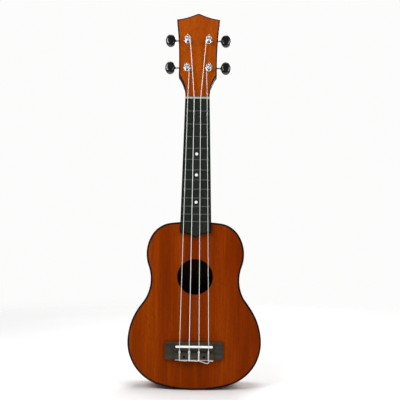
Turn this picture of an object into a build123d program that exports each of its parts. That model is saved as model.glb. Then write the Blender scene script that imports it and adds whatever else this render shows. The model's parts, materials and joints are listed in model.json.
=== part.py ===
from build123d import *
import math
import os

# A soprano ukulele, in millimetres. +X is to the right as seen from the front, the
# soundboard faces -Y, and +Z runs up the neck. The origin is level with the tail end, on
# the centreline, at half of the instrument's depth.

os.makedirs("parts", exist_ok=True)

# ---- Scale, neck and headstock ----
scale_length = 346.0
joint_z = 235.4  # the twelfth fret stands over the body joint
fret_count = 12
nut_z = joint_z + scale_length / 2
nut_set_in = 2.5  # the nut stands this far over the end of the scale
nut_low_z = nut_z - nut_set_in
nut_thickness = 2.8
head_z = nut_low_z + nut_thickness  # where the headstock begins
head_tilt = 12.0
head_length = 127.35
head_thickness = 11.0
board_width_nut = 34.0
board_width_joint = 42.9
neck_depth_nut = 13.3
neck_depth_joint = 15.0

# ---- Body ----
body_depth = 60.0
# Radius and turn of each arc of the outline, from the tail's middle up to the shoulder.
bout_arcs = ((173.2, 16.4), (62.0, 76.0), (86.9, 36.7), (54.0, -59.0), (50.6, 51.5), (35.9, 51.3))
top_thickness = 2.0
back_thickness = 2.0
side_thickness = 2.5
binding_width = 2.5
binding_depth = 3.5
binding_round = 0.5
lining_width = 5.0
lining_depth = 8.0
hole_radius = 25.0
hole_z = 158.1
block_width = 46.0
neck_block_length = 20.0
tail_block_length = 14.0
brace_width = 5.0
brace_depth = 7.0
top_brace_z = (126.0, 192.0)
back_brace_z = (58.0, 122.0, 190.0)

# ---- Fretboard ----
board_thickness = 5.0
board_end_z = 219.9
board_tip_z = 212.5
board_binding = 1.6
fret_width = 1.5
fret_height = 0.9
tang_width = 0.5
tang_depth = 1.5
dot_radius = 2.1
dot_depth = 1.2
dotted_frets = (5, 7, 10)

# ---- Bridge, saddle, nut and strings ----
bridge_length = 81.0
bridge_low_z, bridge_high_z = 42.9, 67.5
wing_height = 4.6
saddle_z = joint_z - scale_length / 2 - 0.65
saddle_length = 52.0
saddle_thickness = 3.0
saddle_height = 10.6
saddle_slot_floor = 3.2
saddle_block_height = 7.2
saddle_block_low_z = 56.4
tie_block_width = 54.0
tie_block_high_z = 52.6
tie_block_height = 8.8
tie_hole_height = 5.8
strip_height = 1.2
strip_width = 1.0
tie_hole_radius = 0.8
bridge_plate_length, bridge_plate_width, bridge_plate_thickness = 96.0, 34.0, 1.6
screw_shank = 0.8
screw_length = 9.0
screw_head = 1.4
screw_head_depth = 3.5  # the screw head's seat above the soundboard
plug_x, plug_z = 13.8, 47.5
plug_radius = 1.8
plug_depth = 1.2
plug_recess = 1.2
nut_slot_height = 6.5
nut_slot_side = 0.17  # room beside a string in its slot
string_names = ("g", "c", "e", "a")
string_radius = {"g": 0.34, "c": 0.45, "e": 0.39, "a": 0.32}
string_nut_spacing = 9.0
string_saddle_spacing = 13.4
# A string's corner over the saddle's round top, in touching radii up and toward the tail.
saddle_lift, saddle_shift = 1.03, 0.29
fit_gap = 0.03  # between pieces that touch but don't press

# ---- Tuners, in the headstock's own directions ----
veneer_thickness = 1.2
head_binding = 1.7
head_strip = 1.2
post_x = {"g": -15.3, "c": -15.0, "e": 15.0, "a": 15.3}
post_l = {"g": 43.95, "c": 86.05, "e": 86.05, "a": 43.95}
post_radius = 3.0
post_waist_radius = 2.7
post_cap_radius = 2.4
post_tip_radius = 1.0
post_height = 14.5
bearing_gap = 0.05  # running clearance, radial
bushing_flange_radius = 5.25
bushing_flange = 1.0
bushing_radius = 4.3
bushing_depth = 8.0
post_hole_radius = 3.5
plate_thickness = 1.0
plate_width = 11.6
plate_low, plate_high = -12.0, 17.2
gear_teeth = 16
gear_module = 0.7
gear_width = 4.0
gear_tooth = 0.8  # tooth thickness on the pitch circle
worm_offset = 7.7  # centre distance of gear and worm
worm_depth = 5.8  # worm axis behind the headstock's back
worm_root_radius = 1.2
worm_thread_half = 3.3
ear_inner, ear_outer = 4.2, 5.4
ear_half_width = 2.9
spigot = 3.2
button_x = 39.85
button_length = 14.4
button_tall = 18.6
button_thick = 8.0
wrap_height = 5.0  # the string's first wrap above the headstock's face
wrap_turn = 170.0
coil_turns = 1.6

# ---- Worked out ----
front_reach = (
    saddle_height
    - saddle_thickness / 2
    + (saddle_thickness / 2 + fit_gap + string_radius["c"]) * saddle_lift
    + string_radius["c"]
)
face_y = (front_reach - body_depth) / 2  # the soundboard's outer face
back_y = face_y + body_depth
nut_top = nut_slot_height + string_radius["g"]
worm_pitch_radius = worm_offset - gear_teeth * gear_module / 2
worm_lead = math.pi * gear_module
head_rise = math.radians(head_tilt)
head_plane = Plane(
    origin=(0, face_y, head_z),
    x_dir=(1, 0, 0),
    z_dir=(0, -math.cos(head_rise), math.sin(head_rise)),
)
gear_low = -head_thickness - worm_depth - gear_width / 2
gear_high = gear_low + gear_width


def front_plane(y):
    """A plane that faces the front, with its sketches' y along +Z."""
    return Plane.XZ.offset(-y)


def fret_z(number):
    return nut_z - scale_length * (1 - 2 ** (-number / 12))


def board_half(z):
    """Half of the fretboard's width at a height."""
    share = (nut_z - z) / (nut_z - joint_z)
    return (board_width_nut + share * (board_width_joint - board_width_nut)) / 2


def side_of(name):
    return 1 if post_x[name] > 0 else -1


def string_place(name, spacing):
    return (string_names.index(name) - 1.5) * spacing


def on_head(x, along, height):
    """The place of a point given in the headstock's directions."""
    return head_plane.from_local_coords(Vector(x, along, height))


def body_shape(inset=0.0):
    """The body's front view, drawn in by the inset: a chain of tangent arcs."""
    with BuildSketch() as shape:
        with BuildLine():
            point, heading, left = Vector(0, 0), Vector(1, 0), 180.0
            for radius, turn in bout_arcs:
                arc = JernArc(start=point, tangent=heading, radius=radius, arc_size=turn)
                point, heading, left = arc @ 1, arc % 1, left - turn
            JernArc(
                start=point,
                tangent=heading,
                radius=point.X / math.sin(math.radians(left)),
                arc_size=left,
            )
            mirror(about=Plane.YZ)
        make_face()
        if inset > 0:
            offset(amount=-inset)
    return shape.sketch


def board_shape(inset=0.0):
    """The fretboard's front view, drawn in at its sides and its pointed end."""
    over = nut_z + 10
    with BuildSketch() as shape:
        with BuildLine():
            Line((board_half(over), over), (board_half(board_end_z), board_end_z))
            ThreePointArc(
                (board_half(board_end_z), board_end_z),
                (10.5, board_end_z - 2.0),
                (0, board_tip_z),
            )
            mirror(about=Plane.YZ)
            Line((-board_half(over), over), (board_half(over), over))
        make_face()
        if inset > 0:
            offset(amount=-inset, kind=Kind.INTERSECTION)
        with Locations((0, nut_low_z)):
            Rectangle(80, 300, align=(Align.CENTER, Align.MAX), mode=Mode.INTERSECT)
    return shape.sketch


def head_shape(inset=0.0):
    """The headstock's face, in its own plane, drawn in at its sides and top."""
    half = board_width_nut / 2
    shoulder = (26.8, 33.1)
    corner = (30.8, 117.9)
    turning = (6.0, 125.0)  # where the top's curve changes from hollow to round
    slope = (1, -0.45)
    with BuildSketch() as shape:
        with BuildLine():
            Line((half, -8), (half, 0))
            ThreePointArc((half, 0), (19.4, 17.6), shoulder)
            ThreePointArc(shoulder, (27.2, 73.1), corner)
            TangentArc(turning, corner, tangent=slope)
            TangentArc(turning, (0, head_length), tangent=(-slope[0], -slope[1]))
            mirror(about=Plane.YZ)
            Line((-half, -8), (half, -8))
        make_face()
        if inset > 0:
            offset(amount=-inset, kind=Kind.INTERSECTION)
        Rectangle(90, 150, align=(Align.CENTER, Align.MIN), mode=Mode.INTERSECT)
    return shape.sketch


def veneer_shape():
    """The veneer inside its black edge, which also runs along the nut."""
    with BuildSketch() as shape:
        add(head_shape(head_binding))
        with Locations((0, head_strip)):
            Rectangle(90, 150, align=(Align.CENTER, Align.MIN), mode=Mode.INTERSECT)
    return shape.sketch


def d_shape(width, depth, squareness=0.5523):
    """A flat top edge with a rounded back: half an ellipse, or squarer."""
    half = width / 2
    with BuildSketch() as shape:
        with BuildLine():
            Line((-half, 0), (half, 0))
            Bezier((half, 0), (half, squareness * depth), (squareness * half, depth), (0, depth))
            Bezier((0, depth), (-squareness * half, depth), (-half, squareness * depth), (-half, 0))
        make_face()
    return shape.sketch


def gear_profile():
    """Straight-flanked teeth on a hub, with a gap straight above the centre."""
    pitch_radius = gear_teeth * gear_module / 2
    root_radius = pitch_radius - 0.88
    tip_radius = pitch_radius + 0.55
    slope = math.tan(math.radians(22))
    tip_half = gear_tooth / 2 - (tip_radius - pitch_radius) * slope
    root_half = gear_tooth / 2 + (pitch_radius - root_radius) * slope
    with BuildSketch() as shape:
        Circle(root_radius)
        with PolarLocations(0, gear_teeth, start_angle=90 + 180 / gear_teeth):
            Polygon(
                (root_radius - 0.3, -root_half),
                (root_radius, -root_half),
                (tip_radius, -tip_half),
                (tip_radius, tip_half),
                (root_radius, root_half),
                (root_radius - 0.3, root_half),
                align=None,
            )
    return shape.sketch


def worm_plane(name):
    """At the middle of the worm, with the plane's normal along +X."""
    centre = on_head(post_x[name], post_l[name] + worm_offset, -head_thickness - worm_depth)
    return Plane(origin=centre, x_dir=-head_plane.y_dir, z_dir=(1, 0, 0))


def post_plane(name, height=0.0):
    return Plane(
        origin=on_head(post_x[name], post_l[name], height),
        x_dir=(1, 0, 0),
        z_dir=head_plane.z_dir,
    )


def string_path(name):
    """Corners from the tie block's hole over the saddle and the nut to the post."""
    saddle_x = string_place(name, string_saddle_spacing)
    nut_x = string_place(name, string_nut_spacing)
    nut_height = nut_slot_height + fit_gap + string_radius[name]
    over = saddle_thickness / 2 + fit_gap + string_radius[name]
    crest = saddle_height - saddle_thickness / 2 + over * saddle_lift
    return (
        (saddle_x, face_y - tie_hole_height, bridge_low_z - 0.8),
        (saddle_x, face_y - tie_hole_height, tie_block_high_z + 0.8),
        (saddle_x, face_y - crest, saddle_z - over * saddle_shift),
        (nut_x, face_y - nut_height, nut_low_z + nut_thickness / 2),
    )


def wrap_points(name):
    """Start, middle and end of the string's half turn round the post's inner side."""
    reach = post_radius + fit_gap + string_radius[name]
    over_x = post_x[name] - string_place(name, string_nut_spacing)
    over_l = post_l[name]
    from_nut = math.acos(reach / math.hypot(over_x, over_l))
    start = math.atan2(-over_l, -over_x) - side_of(name) * from_nut
    points = []
    for turn in (0, wrap_turn / 2, wrap_turn):
        angle = start - side_of(name) * math.radians(turn)
        points.append(
            on_head(
                post_x[name] + reach * math.cos(angle),
                post_l[name] + reach * math.sin(angle),
                veneer_thickness + wrap_height,
            )
        )
    return points


def string_run(name, radius):
    """The string from end to end, as a solid of the given radius."""
    start, middle, end = wrap_points(name)
    with BuildPart() as run:
        with BuildLine() as path:
            Polyline(*string_path(name), start)
            ThreePointArc(start, middle, end)
        with BuildSketch(Plane(origin=path.line @ 0, z_dir=path.line % 0)):
            Circle(radius)
        sweep(path=path.line, transition=Transition.ROUND)
    return run.part


def finish(piece, name):
    piece.part.label = name
    export_step(piece.part, f"parts/{name}.step")


# ---- Body: plates, sides, blocks and linings ----
with BuildPart() as soundboard:
    with BuildSketch(front_plane(face_y + top_thickness)):
        add(body_shape(binding_width))
        with Locations((0, hole_z)):
            Circle(hole_radius, mode=Mode.SUBTRACT)
        with Locations((-plug_x, plug_z), (plug_x, plug_z)):
            Circle(screw_shank + fit_gap, mode=Mode.SUBTRACT)
    extrude(amount=top_thickness)
finish(soundboard, "soundboard")

with BuildPart() as back:
    with BuildSketch(front_plane(back_y)):
        add(body_shape(binding_width))
    extrude(amount=back_thickness)
finish(back, "back")

with BuildPart() as top_binding:
    with BuildSketch(front_plane(face_y + binding_depth)):
        add(body_shape())
        add(body_shape(binding_width), mode=Mode.SUBTRACT)
    extrude(amount=binding_depth)
    fillet(top_binding.faces().sort_by(Axis.Y)[0].outer_wire().edges(), binding_round)
finish(top_binding, "top_binding")

with BuildPart() as back_binding:
    with BuildSketch(front_plane(back_y)):
        add(body_shape())
        add(body_shape(binding_width), mode=Mode.SUBTRACT)
    extrude(amount=binding_depth)
    fillet(back_binding.faces().sort_by(Axis.Y)[-1].outer_wire().edges(), binding_round)
finish(back_binding, "back_binding")

dowel_radius = 4.0
dowel_length = 27.0
dowel_low_z = joint_z - 13.0
dowel_depths = (20.0, 42.0)
dowel_places = [(0, face_y + depth) for depth in dowel_depths]


def bent_side(keep):
    """One half of the body's wall."""
    with BuildPart() as wall:
        with BuildSketch(front_plane(back_y - binding_depth)):
            add(body_shape())
            add(body_shape(side_thickness), mode=Mode.SUBTRACT)
        extrude(amount=body_depth - 2 * binding_depth)
        with BuildSketch(Plane.XY.offset(dowel_low_z)):
            with Locations(*dowel_places):
                Circle(dowel_radius + fit_gap)
        extrude(amount=dowel_length, mode=Mode.SUBTRACT)
        split(bisect_by=Plane.YZ, keep=keep)
    return wall.part


with BuildPart() as side_left:
    add(bent_side(Keep.BOTTOM))
finish(side_left, "side_left")

with BuildPart() as side_right:
    add(bent_side(Keep.TOP))
finish(side_right, "side_right")

body_length = body_shape().bounding_box().max.Y
neck_block_z = body_length - side_thickness - neck_block_length
with BuildPart() as neck_block:
    with BuildSketch(front_plane(back_y - back_thickness)):
        add(body_shape(side_thickness))
        with Locations((0, neck_block_z)):
            Rectangle(block_width, 60, align=(Align.CENTER, Align.MIN), mode=Mode.INTERSECT)
    extrude(amount=body_depth - top_thickness - back_thickness)
    with BuildSketch(Plane.XY.offset(dowel_low_z)):
        with Locations(*dowel_places):
            Circle(dowel_radius + fit_gap)
    extrude(amount=dowel_length, mode=Mode.SUBTRACT)
finish(neck_block, "neck_block")

tail_block_z = side_thickness + tail_block_length
with BuildPart() as tail_block:
    with BuildSketch(front_plane(back_y - back_thickness)):
        add(body_shape(side_thickness))
        with Locations((0, tail_block_z)):
            Rectangle(block_width, 60, align=(Align.CENTER, Align.MAX), mode=Mode.INTERSECT)
    extrude(amount=body_depth - top_thickness - back_thickness)
finish(tail_block, "tail_block")


def linings(y):
    """Two glued strips inside the walls, one on each side, stopping at the blocks."""
    with BuildPart() as strips:
        with BuildSketch(front_plane(y)):
            add(body_shape(side_thickness))
            add(body_shape(side_thickness + lining_width), mode=Mode.SUBTRACT)
            with Locations((0, body_length / 2)):
                Rectangle(block_width + 0.4, 300, mode=Mode.SUBTRACT)
        extrude(amount=lining_depth)
    return strips.part


with BuildPart() as top_linings:
    add(linings(face_y + top_thickness + lining_depth))
finish(top_linings, "top_linings")

with BuildPart() as back_linings:
    add(linings(back_y - back_thickness))
finish(back_linings, "back_linings")


def braces(y, heights):
    """Bars across the body that end just inside the linings."""
    with BuildPart() as bars:
        with BuildSketch(front_plane(y)):
            with Locations(*[(0, z) for z in heights]):
                Rectangle(220, brace_width)
            add(body_shape(side_thickness + lining_width + 0.5), mode=Mode.INTERSECT)
        extrude(amount=brace_depth)
    return bars.part


with BuildPart() as top_braces:
    add(braces(face_y + top_thickness + brace_depth, top_brace_z))
finish(top_braces, "top_braces")

with BuildPart() as back_braces:
    add(braces(back_y - back_thickness, back_brace_z))
finish(back_braces, "back_braces")

bridge_mid_z = (bridge_low_z + bridge_high_z) / 2
with BuildPart() as bridge_plate:
    with BuildSketch(front_plane(face_y + top_thickness + bridge_plate_thickness)):
        with Locations((0, bridge_mid_z)):
            RectangleRounded(bridge_plate_length, bridge_plate_width, 3)
        with Locations((-plug_x, plug_z), (plug_x, plug_z)):
            Circle(screw_shank + fit_gap, mode=Mode.SUBTRACT)
    extrude(amount=bridge_plate_thickness)
finish(bridge_plate, "bridge_plate")

# ---- Neck with heel and headstock ----
heel_cap_thickness = 2.0
heel_base_z = 225.0
heel_sections = (
    (9.0, 41.0, 66.0),
    (13.0, 39.0, 54.0),
    (18.0, 36.0, 45.0),
    (27.0, 32.0, 37.0),
    (41.0, 28.0, 32.0),
    (body_depth - heel_cap_thickness, 26.0, 30.0),
)
mounting_screw_at = (-9.0, 14.2)
mounting_screw_radius = 1.1
mounting_screw_length = 8.5
mounting_screw_head_radius = 2.4
mounting_screw_head = 1.3

with BuildPart() as neck:
    shaft_low_z = 228.0
    slope = (neck_depth_joint - neck_depth_nut) / (nut_z - joint_z)
    for z in (shaft_low_z, nut_z):
        with BuildSketch(Plane.XY.offset(z)):
            with Locations((0, face_y)):
                add(d_shape(2 * board_half(z), neck_depth_nut + slope * (nut_z - z)))
    loft()
    for depth, width, length in heel_sections:
        with BuildSketch(front_plane(face_y + depth)):
            with Locations((0, heel_base_z)):
                add(d_shape(width, length))
    loft()
    with BuildSketch(Plane.XY.offset(nut_z)):
        with Locations((0, face_y)):
            add(d_shape(board_width_nut, neck_depth_nut))
    for along, width, depth, squareness in (
        (3.0, 34.4, 12.4, 0.62),
        (10.0, 36.4, 11.4, 0.75),
        (20.0, 42.0, head_thickness, 0.97),
    ):
        across = Plane(
            origin=on_head(0, along, 0), x_dir=(1, 0, 0), z_dir=head_plane.y_dir
        )
        with BuildSketch(across):
            add(d_shape(width, depth, squareness))
    loft()
    with BuildSketch(head_plane.offset(-head_thickness)):
        add(head_shape())
        with Locations((0, 16)):
            Rectangle(90, 150, align=(Align.CENTER, Align.MIN), mode=Mode.INTERSECT)
    extrude(amount=head_thickness)
    # The body's place in the heel, and everything in front of the headstock's face.
    with BuildSketch(front_plane(back_y + 1)):
        add(body_shape())
    extrude(amount=body_depth + 2, mode=Mode.SUBTRACT)
    with BuildSketch(head_plane):
        Rectangle(90, 150, align=(Align.CENTER, Align.MIN))
    extrude(amount=5, mode=Mode.SUBTRACT)
    with BuildSketch(head_plane):
        with Locations((0, 2)):
            Rectangle(90, 40, align=(Align.CENTER, Align.MIN))
        add(head_shape(), mode=Mode.SUBTRACT)
    extrude(amount=-2 * head_thickness, mode=Mode.SUBTRACT)
    with BuildSketch(Plane.XY.offset(dowel_low_z)):
        with Locations(*dowel_places):
            Circle(dowel_radius + fit_gap)
    extrude(amount=dowel_length + 1, mode=Mode.SUBTRACT)
    with BuildSketch(head_plane):
        with Locations(*[(post_x[name], post_l[name]) for name in string_names]):
            Circle(bushing_radius + fit_gap)
    extrude(amount=-(bushing_depth - veneer_thickness) - 0.2, mode=Mode.SUBTRACT)
    with BuildSketch(head_plane):
        with Locations(*[(post_x[name], post_l[name]) for name in string_names]):
            Circle(post_hole_radius)
    extrude(amount=-head_thickness - 1, mode=Mode.SUBTRACT)
    with BuildSketch(head_plane.offset(-head_thickness)):
        for name in string_names:
            with Locations(*[(post_x[name], post_l[name] + at) for at in mounting_screw_at]):
                Circle(mounting_screw_radius + fit_gap)
    extrude(amount=mounting_screw_length - plate_thickness, mode=Mode.SUBTRACT)
finish(neck, "neck")

with BuildPart() as heel_cap:
    depth, width, length = heel_sections[-1]
    with BuildSketch(front_plane(back_y)):
        with Locations((0, heel_base_z)):
            add(d_shape(width, length))
        add(body_shape(), mode=Mode.SUBTRACT)
    extrude(amount=heel_cap_thickness)
finish(heel_cap, "heel_cap")

with BuildPart() as neck_dowels:
    with BuildSketch(Plane.XY.offset(dowel_low_z + 0.5)):
        with Locations(*dowel_places):
            Circle(dowel_radius)
    extrude(amount=dowel_length - 1)
    chamfer(neck_dowels.edges().filter_by(GeomType.CIRCLE), 0.6)
finish(neck_dowels, "neck_dowels")

with BuildPart() as headstock_veneer:
    with BuildSketch(head_plane):
        add(veneer_shape())
        with Locations(*[(post_x[name], post_l[name]) for name in string_names]):
            Circle(bushing_radius + fit_gap, mode=Mode.SUBTRACT)
    extrude(amount=veneer_thickness)
finish(headstock_veneer, "headstock_veneer")

with BuildPart() as headstock_binding:
    with BuildSketch(head_plane):
        add(head_shape())
        add(veneer_shape(), mode=Mode.SUBTRACT)
    extrude(amount=veneer_thickness)
    out_of_head = Axis(head_plane.origin, head_plane.z_dir)
    rim = headstock_binding.faces().sort_by(out_of_head)[-1].outer_wire().edges()
    chamfer([e for e in rim if head_plane.to_local_coords(e.center()).Y > 1], 0.3)
finish(headstock_binding, "headstock_binding")

# ---- Fretboard, frets, dots and nut ----
dots = [(0, (fret_z(number) + fret_z(number - 1)) / 2) for number in dotted_frets]

with BuildPart() as fretboard:
    with BuildSketch(front_plane(face_y)):
        add(board_shape(board_binding))
    extrude(amount=board_thickness)
    with BuildSketch(front_plane(face_y - board_thickness)):
        for number in range(1, fret_count + 1):
            with Locations((0, fret_z(number))):
                Rectangle(60, tang_width + 2 * fit_gap)
    extrude(amount=-tang_depth - 0.1, mode=Mode.SUBTRACT)
    with BuildSketch(front_plane(face_y - board_thickness)):
        with Locations(*dots):
            Circle(dot_radius + fit_gap)
    extrude(amount=-dot_depth, mode=Mode.SUBTRACT)
finish(fretboard, "fretboard")

with BuildPart() as fretboard_binding:
    with BuildSketch(front_plane(face_y)):
        add(board_shape())
        add(board_shape(board_binding), mode=Mode.SUBTRACT)
    extrude(amount=board_thickness)
finish(fretboard_binding, "fretboard_binding")

with BuildPart() as frets:
    for number in range(1, fret_count + 1):
        half_length = board_half(fret_z(number)) - board_binding - 0.15
        middle = Plane(
            origin=(0, face_y - board_thickness, fret_z(number)), x_dir=(0, 0, 1), z_dir=(1, 0, 0)
        )
        with BuildSketch(middle):
            with BuildLine():
                ThreePointArc((-fret_width / 2, 0), (0, fret_height), (fret_width / 2, 0))
                Line((fret_width / 2, 0), (-fret_width / 2, 0))
            make_face()
            with Locations((0, 0)):
                Rectangle(tang_width, tang_depth, align=(Align.CENTER, Align.MAX))
        extrude(amount=half_length, both=True)
finish(frets, "frets")

with BuildPart() as position_dots:
    with BuildSketch(front_plane(face_y - board_thickness + dot_depth)):
        with Locations(*dots):
            Circle(dot_radius)
    extrude(amount=dot_depth)
finish(position_dots, "position_dots")

with BuildPart() as nut:
    with BuildSketch(front_plane(face_y)):
        with Locations((0, nut_low_z)):
            Rectangle(board_width_nut, nut_thickness, align=(Align.CENTER, Align.MIN))
    extrude(amount=nut_top)
    top_edges = nut.faces().sort_by(Axis.Y)[0].edges()
    fillet(top_edges.filter_by(Axis.X).sort_by(Axis.Z)[-1], 1.6)
    chamfer(nut.faces().sort_by(Axis.Y)[0].edges().filter_by(Axis.Z), 0.5)
    for name in string_names:
        slot_middle = Plane(
            origin=(string_place(name, string_nut_spacing), face_y - nut_slot_height, nut_low_z),
            x_dir=(0, 0, 1),
            z_dir=(1, 0, 0),
        )
        with BuildSketch(slot_middle):
            Polygon(
                (-1, -0.05),
                (nut_thickness / 2, 0),
                (nut_thickness + 1, -0.65),
                (nut_thickness + 1, 3),
                (-1, 3),
                align=None,
            )
        extrude(amount=string_radius[name] + nut_slot_side, both=True, mode=Mode.SUBTRACT)
finish(nut, "nut")

# ---- Bridge, saddle and their small pieces ----
with BuildPart() as bridge:
    with BuildSketch(front_plane(face_y)):
        with Locations((0, bridge_low_z)):
            Rectangle(bridge_length, bridge_high_z - bridge_low_z, align=(Align.CENTER, Align.MIN))
    extrude(amount=wing_height)
    chamfer(bridge.faces().sort_by(Axis.Y)[0].edges(), 0.9)
    with BuildSketch(front_plane(face_y)):
        with Locations((0, saddle_block_low_z)):
            Rectangle(
                tie_block_width,
                bridge_high_z - saddle_block_low_z,
                align=(Align.CENTER, Align.MIN),
            )
    extrude(amount=saddle_block_height)
    fillet(bridge.faces().sort_by(Axis.Y)[0].edges().filter_by(Axis.X).sort_by(Axis.Z)[-1], 2.4)
    with BuildSketch(front_plane(face_y)):
        with Locations((0, bridge_low_z)):
            Rectangle(
                tie_block_width,
                tie_block_high_z - bridge_low_z,
                align=(Align.CENTER, Align.MIN),
            )
    extrude(amount=tie_block_height)
    fillet(bridge.faces().sort_by(Axis.Y)[0].edges().filter_by(Axis.X).sort_by(Axis.Z)[-1], 0.8)
    # The saddle's slot, the string holes, the strip's rabbet and the screw holes.
    with BuildSketch(front_plane(face_y - saddle_slot_floor)):
        with Locations((0, saddle_z)):
            SlotOverall(saddle_length + 2 * fit_gap, saddle_thickness + 2 * fit_gap)
    extrude(amount=20, mode=Mode.SUBTRACT)
    with BuildSketch(Plane.XY.offset(bridge_low_z - 1)):
        for name in string_names:
            with Locations(
                (string_place(name, string_saddle_spacing), face_y - tie_hole_height)
            ):
                Circle(tie_hole_radius)
    extrude(amount=tie_block_high_z - bridge_low_z + 2, mode=Mode.SUBTRACT)
    with BuildSketch(front_plane(face_y - tie_block_height)):
        with Locations((0, bridge_low_z)):
            Rectangle(
                saddle_length + 2 * fit_gap,
                strip_width + fit_gap,
                align=(Align.CENTER, Align.MIN),
            )
    extrude(amount=-strip_height - fit_gap, mode=Mode.SUBTRACT)
    with Locations(
        *[
            Plane(origin=(x, face_y - tie_block_height, plug_z), z_dir=(0, -1, 0))
            for x in (-plug_x, plug_x)
        ]
    ):
        CounterBoreHole(
            screw_shank + fit_gap, plug_radius + fit_gap, tie_block_height - screw_head_depth
        )
finish(bridge, "bridge")

with BuildPart() as saddle:
    with BuildSketch(front_plane(face_y - saddle_slot_floor - fit_gap)):
        with Locations((0, saddle_z)):
            SlotOverall(saddle_length, saddle_thickness)
    extrude(amount=saddle_height - saddle_slot_floor - fit_gap)
    fillet(saddle.faces().sort_by(Axis.Y)[0].edges(), saddle_thickness / 2 - 0.06)
finish(saddle, "saddle")

with BuildPart() as tie_block_strip:
    with BuildSketch(front_plane(face_y - tie_block_height + strip_height)):
        with Locations((0, bridge_low_z)):
            Rectangle(saddle_length, strip_width, align=(Align.CENTER, Align.MIN))
    extrude(amount=strip_height)
finish(tie_block_strip, "tie_block_strip")

screw_head_y = face_y - screw_head_depth - fit_gap
with BuildPart() as bridge_screws:
    for x in (-plug_x, plug_x):
        with BuildSketch(front_plane(screw_head_y)):
            with Locations((x, plug_z)):
                Circle(plug_radius)
        extrude(amount=screw_head)
        with BuildSketch(front_plane(screw_head_y)):
            with Locations((x, plug_z)):
                Circle(screw_shank)
        extrude(amount=-screw_length)
finish(bridge_screws, "bridge_screws")

with BuildPart() as bridge_screw_plugs:
    with BuildSketch(front_plane(face_y - tie_block_height + plug_recess + plug_depth)):
        with Locations((-plug_x, plug_z), (plug_x, plug_z)):
            Circle(plug_radius)
    extrude(amount=plug_depth)
finish(bridge_screw_plugs, "bridge_screw_plugs")

# ---- Strings, fixed at the bridge and lying round their posts ----
for name in string_names:
    with BuildPart() as string:
        add(string_run(name, string_radius[name]))
    finish(string, f"string_{name}")

# ---- Tuners ----
with BuildPart() as bushings:
    for name in string_names:
        with BuildSketch(post_plane(name, veneer_thickness)):
            Circle(bushing_flange_radius)
            Circle(post_radius + bearing_gap, mode=Mode.SUBTRACT)
        extrude(amount=bushing_flange)
        with BuildSketch(post_plane(name, veneer_thickness)):
            Circle(bushing_radius)
            Circle(post_radius + bearing_gap, mode=Mode.SUBTRACT)
        extrude(amount=-bushing_depth)
    rims = bushings.edges().filter_by(GeomType.CIRCLE)
    chamfer([e for e in rims if abs(e.radius - bushing_flange_radius) < 0.01], 0.35)
finish(bushings, "bushings")

with BuildPart() as tuner_plates:
    for name in string_names:
        plate_mid = (plate_low + plate_high) / 2
        with BuildSketch(post_plane(name, -head_thickness)):
            with Locations((0, plate_mid)):
                SlotOverall(plate_high - plate_low, plate_width, rotation=90)
            Circle(post_radius + bearing_gap, mode=Mode.SUBTRACT)
            with Locations(*[(0, at) for at in mounting_screw_at]):
                Circle(mounting_screw_radius + fit_gap, mode=Mode.SUBTRACT)
        extrude(amount=-plate_thickness)
        for low, high in ((-ear_outer, -ear_inner), (ear_inner, ear_outer)):
            with BuildSketch(worm_plane(name).offset(low)):
                Circle(ear_half_width)
                with Locations((0, 0)):
                    Rectangle(2 * ear_half_width, worm_depth, align=(Align.CENTER, Align.MAX))
                Circle(worm_root_radius + bearing_gap, mode=Mode.SUBTRACT)
            extrude(amount=high - low)
finish(tuner_plates, "tuner_plates")

with BuildPart() as mounting_screws:
    for name in string_names:
        for at in mounting_screw_at:
            base = post_plane(name, -head_thickness - plate_thickness)
            spot = Plane(
                origin=base.from_local_coords(Vector(0, at, 0)),
                x_dir=(1, 0, 0),
                z_dir=-head_plane.z_dir,
            )
            with BuildSketch(spot):
                Circle(mounting_screw_head_radius)
            extrude(amount=mounting_screw_head)
            with BuildSketch(spot.offset(-mounting_screw_length + 0.2)):
                Circle(mounting_screw_radius)
            extrude(amount=mounting_screw_length - 0.2)
    heads = mounting_screws.edges().filter_by(GeomType.CIRCLE)
    outer = [e for e in heads if abs(e.radius - mounting_screw_head_radius) < 0.01]
    fillet([e for e in outer if head_plane.to_local_coords(e.center()).Z < -13], 0.9)
finish(mounting_screws, "mounting_screws")

# One post, gear and gear screw, drawn round +Z, which is the headstock's outward normal.
post_top = veneer_thickness + post_height
string_hole_height = 10.8
string_hole_radius = 1.1
wrap_low, wrap_high = 4.0, 9.4  # the waisted stretch that takes the string
gear_screw_radius = 0.9
with BuildPart() as post_turned:
    with BuildSketch(Plane.XZ):
        with BuildLine():
            Line((0, gear_high), (post_radius, gear_high))
            Line((post_radius, gear_high), (post_radius, wrap_low))
            ThreePointArc(
                (post_radius, wrap_low),
                (post_waist_radius, (wrap_low + wrap_high) / 2),
                (post_radius, wrap_high),
            )
            Line((post_radius, wrap_high), (post_cap_radius, wrap_high + 0.6))
            Line((post_cap_radius, wrap_high + 0.6), (post_cap_radius, post_top - 3.1))
            ThreePointArc(
                (post_cap_radius, post_top - 3.1),
                (post_cap_radius - 0.4, post_top - 1.1),
                (post_tip_radius, post_top),
            )
            Line((post_tip_radius, post_top), (0, post_top))
            Line((0, post_top), (0, gear_high))
        make_face()
    revolve(axis=Axis.Z)
    with BuildSketch(Plane.XY.offset(gear_high)):
        Rectangle(spigot, spigot)
    extrude(amount=-gear_width + 0.1)
    with BuildSketch(Plane.XY.offset(gear_low)):
        Circle(gear_screw_radius + bearing_gap)
    extrude(amount=gear_width + 1.5, mode=Mode.SUBTRACT)
    with BuildSketch(Plane.XZ):
        with Locations((0, string_hole_height)):
            Circle(string_hole_radius)
    extrude(amount=5, both=True, mode=Mode.SUBTRACT)

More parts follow.
